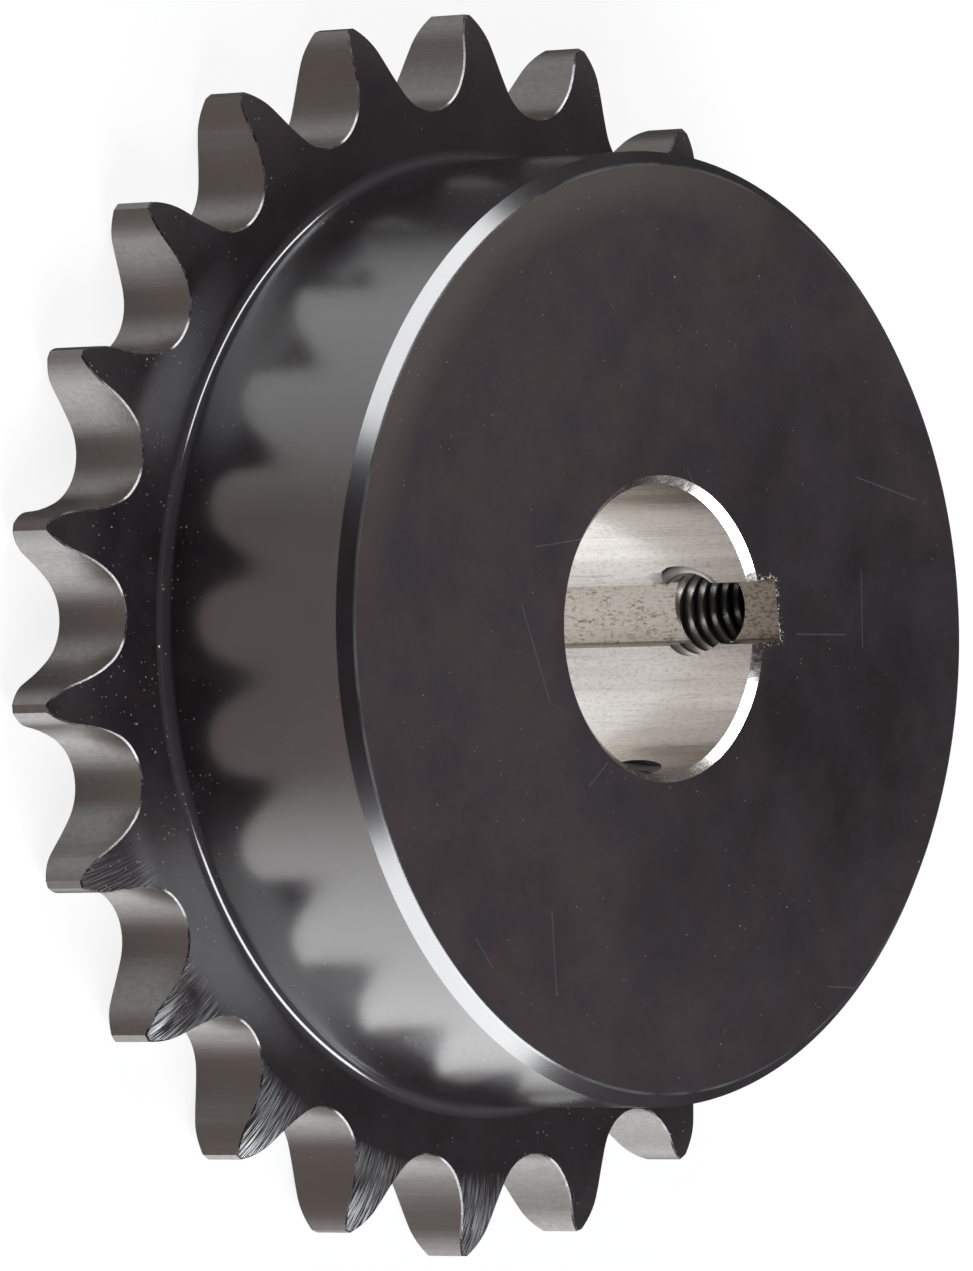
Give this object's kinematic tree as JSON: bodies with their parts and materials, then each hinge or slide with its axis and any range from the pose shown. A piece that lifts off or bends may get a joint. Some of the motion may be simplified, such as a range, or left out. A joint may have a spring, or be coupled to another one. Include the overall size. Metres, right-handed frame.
{
  "type": "chain sprocket",
  "caption": "Roller chain sprocket with a hub on one side, a keyed through bore and threaded set screw holes, in black oxide steel.",
  "frame": {"origin": "on the bore axis, at the middle of the teeth's width, where the chain's centre line runs", "axes": "+Z along the bore axis, from the flat back towards the hub's face; +X through the middle of the keyway and of one tooth"},
  "size_m": [0.096, 0.095, 0.0254],
  "materials": {
    "black_steel": "black oxide, semi-gloss, with bare bright steel in the bore, keyway and threads",
    "bare_steel": "bare cut steel, as in the bore, keyway and threads"
  },
  "bodies": {
    "root": {"sprocket": "black_steel"}
  },
  "joints": []
}
